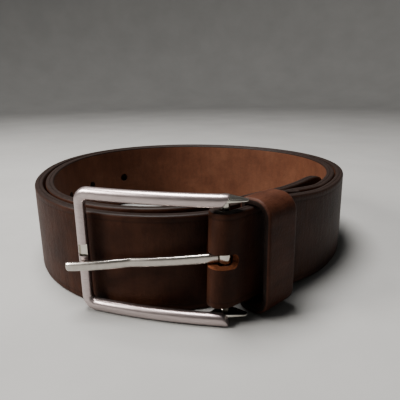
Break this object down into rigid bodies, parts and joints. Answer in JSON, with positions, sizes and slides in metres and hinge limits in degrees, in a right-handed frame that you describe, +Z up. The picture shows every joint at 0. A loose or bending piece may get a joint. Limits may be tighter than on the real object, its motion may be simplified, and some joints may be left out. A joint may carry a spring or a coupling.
{
  "type": "leather dress belt",
  "caption": "Brown leather dress belt rolled into a standing coil, with a satin metal frame buckle, hinged prong and a leather keeper.",
  "frame": {"origin": "on the floor under the middle of the belt's bounding box", "axes": "+Z up, the coil's axis; -Y is the front, which the buckle faces; +X runs along the buckle from its left bar to its pivot bar"},
  "size_m": [0.1474, 0.1592, 0.0445],
  "materials": {
    "dyed_leather": "smooth dark brown full-grain leather, waxed",
    "lining_leather": "matt mid-brown lining leather",
    "satin_metal": "satin nickel",
    "polished_metal": "polished nickel",
    "steel_wire": "plain wire",
    "stud_metal": "nickel plated"
  },
  "bodies": {
    "strap": {"strap_face": "dyed_leather", "strap_lining": "lining_leather", "stud_caps": "stud_metal", "stud_sockets": "stud_metal", "stud_balls": "stud_metal", "stud_posts": "stud_metal"},
    "buckle": {"buckle_frame": "satin_metal", "pivot_bar": "polished_metal"},
    "prong": {"prong": "polished_metal"},
    "keeper": {"keeper_band": "dyed_leather", "keeper_staple": "steel_wire"}
  },
  "joints": [
    {"name": "buckle_swing", "type": "hinge", "parent": "strap", "child": "buckle", "pos_m": [0.03486, -0.06938, 0.02225], "axis": [0, 0, 1], "range_deg": [0, 45]},
    {"name": "prong_swing", "type": "hinge", "parent": "buckle", "child": "prong", "pos_m": [0.03486, -0.06938, 0.02225], "axis": [0, 0, 1], "range_deg": [0, 45]},
    {"name": "keeper_slide", "type": "slide", "parent": "strap", "child": "keeper", "axis": [0.4998, 0.8661, 0], "range_m": [0, 0.003]}
  ]
}
